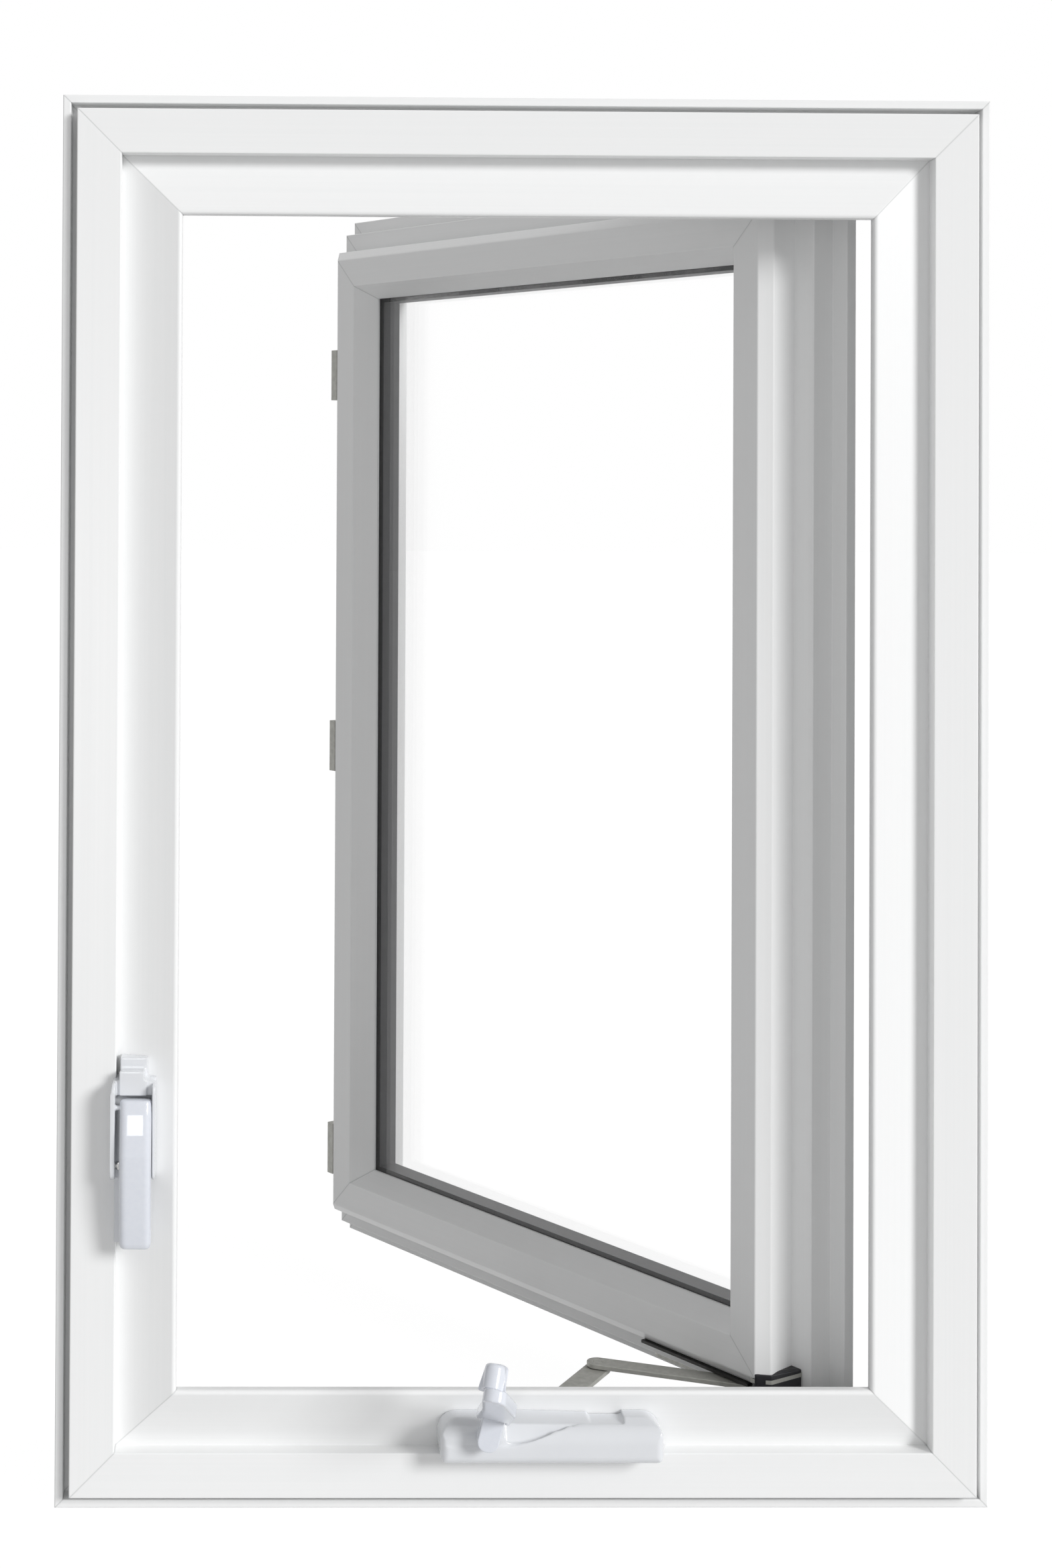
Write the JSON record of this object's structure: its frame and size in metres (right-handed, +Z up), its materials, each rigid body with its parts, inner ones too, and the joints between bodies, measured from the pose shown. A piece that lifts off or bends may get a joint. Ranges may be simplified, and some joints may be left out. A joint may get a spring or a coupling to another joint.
{
  "type": "crank-operated outward-opening casement window",
  "caption": "Single white vinyl casement window with a side-hinged glazed sash, folding crank operator, concealed sliding hinges and a lever lock.",
  "frame": {"origin": "middle of the flat underside of the sill, half way through the frame's depth", "axes": "+X to the right seen from the room, +Y towards the outside, +Z up"},
  "size_m": [0.597, 0.583, 0.902],
  "materials": {
    "white_vinyl": "smooth extruded white vinyl, satin",
    "clear_glass": "clear float glass",
    "black_spacer": "dark spacer bar between the panes",
    "black_seal": "soft weather seal",
    "steel_hinge": "galvanised strip",
    "black_shoe": "moulded sliding shoe",
    "white_cover": "glossy white moulding",
    "white_handle": "glossy white paint over die casting"
  },
  "bodies": {
    "frame": {"frame_head": "white_vinyl", "frame_sill": "white_vinyl", "frame_jamb_lock": "white_vinyl", "frame_jamb_hinge": "white_vinyl", "frame_seal": "black_seal", "hinge_track_bottom": "steel_hinge", "hinge_track_top": "steel_hinge", "operator_base": "steel_hinge", "operator_cover": "white_cover", "lock_escutcheon": "white_cover"},
    "support_arm_bottom": {"support_arm_bottom": "steel_hinge"},
    "support_arm_top": {"support_arm_top": "steel_hinge"},
    "sash": {"sash_top_rail": "white_vinyl", "sash_bottom_rail": "white_vinyl", "sash_lock_stile": "white_vinyl", "sash_hinge_stile": "white_vinyl", "bead_top": "white_vinyl", "bead_bottom": "white_vinyl", "bead_lock_side": "white_vinyl", "bead_hinge_side": "white_vinyl", "glass_inner": "clear_glass", "glass_outer": "clear_glass", "glass_spacer": "black_spacer", "sash_arm_bottom": "steel_hinge", "sash_arm_top": "steel_hinge", "link_bracket": "steel_hinge", "hinge_block": "black_shoe", "keepers": "steel_hinge"},
    "shoe_bottom": {"hinge_shoe_bottom": "black_shoe"},
    "shoe_top": {"hinge_shoe_top": "black_shoe"},
    "drive_arm": {"drive_arm": "steel_hinge"},
    "link_arm": {"link_arm": "steel_hinge"},
    "crank_hub": {"crank_hub": "white_handle"},
    "crank_arm": {"crank_arm": "white_handle", "crank_knob": "white_handle"},
    "lock_lever": {"lock_lever": "white_handle"},
    "lock_bar": {"lock_bar": "steel_hinge"}
  },
  "joints": [
    {"name": "support_arm_bottom_swing", "type": "hinge", "parent": "frame", "child": "support_arm_bottom", "pos_m": [0.1258, 0.0225, 0.037], "axis": [0, 0, 1], "range_deg": [-55.01, 20.01]},
    {"name": "sash_swing", "type": "hinge", "parent": "support_arm_bottom", "child": "sash", "pos_m": [0.15844, 0.06911, 0.041], "axis": [0, 0, -1], "range_deg": [-110, 40]},
    {"name": "support_arm_top_swing", "type": "hinge", "parent": "frame", "child": "support_arm_top", "pos_m": [0.1258, 0.0225, 0.865], "axis": [0, 0, 1], "range_deg": [-55.01, 20.01]},
    {"name": "shoe_bottom_pivot", "type": "hinge", "parent": "sash", "child": "shoe_bottom", "pos_m": [0.19107, 0.0225, 0.038], "axis": [0, 0, 1], "range_deg": [-55.01, 20.01]},
    {"name": "shoe_top_pivot", "type": "hinge", "parent": "sash", "child": "shoe_top", "pos_m": [0.19107, 0.0225, 0.864], "axis": [0, 0, 1], "range_deg": [-55.01, 20.01]},
    {"name": "drive_arm_swing", "type": "hinge", "parent": "frame", "child": "drive_arm", "pos_m": [0.006, -0.0275, 0.0518], "axis": [0, 0, 1], "range_deg": [-43.9, 15.97]},
    {"name": "link_arm_swing", "type": "hinge", "parent": "drive_arm", "child": "link_arm", "pos_m": [0.06218, 0.06707, 0.0554], "axis": [0, 0, -1], "range_deg": [-62.99, 22.91]},
    {"name": "crank_turn", "type": "hinge", "parent": "frame", "child": "crank_hub", "pos_m": [-0.026, -0.0615, 0.056], "axis": [0, -1, 0], "range_deg": [-3960.01, 1440.01]},
    {"name": "crank_fold", "type": "hinge", "parent": "crank_hub", "child": "crank_arm", "pos_m": [-0.02189, -0.068, 0.0725], "axis": [0.9703, 0, -0.2419], "range_deg": [-62, 40]},
    {"name": "lock_lever_turn", "type": "hinge", "parent": "frame", "child": "lock_lever", "pos_m": [-0.2471, -0.0555, 0.2603], "axis": [-1, 0, 0], "range_deg": [0, 140]},
    {"name": "lock_bar_slide", "type": "slide", "parent": "frame", "child": "lock_bar", "axis": [0, 0, 1], "range_m": [0, 0.0321]}
  ],
  "couplings": [
    {"joint": "support_arm_bottom_swing", "follows": "sash_swing", "ratio": 0.5},
    {"joint": "support_arm_top_swing", "follows": "sash_swing", "ratio": 0.5},
    {"joint": "shoe_bottom_pivot", "follows": "sash_swing", "ratio": 0.5},
    {"joint": "shoe_top_pivot", "follows": "sash_swing", "ratio": 0.5},
    {"joint": "drive_arm_swing", "follows": "sash_swing", "ratio": 0.39898},
    {"joint": "link_arm_swing", "follows": "sash_swing", "ratio": 0.57257},
    {"joint": "crank_turn", "follows": "sash_swing", "ratio": 36},
    {"joint": "lock_bar_slide", "follows": "lock_lever_turn", "m_per_rad": 0.013096}
  ]
}
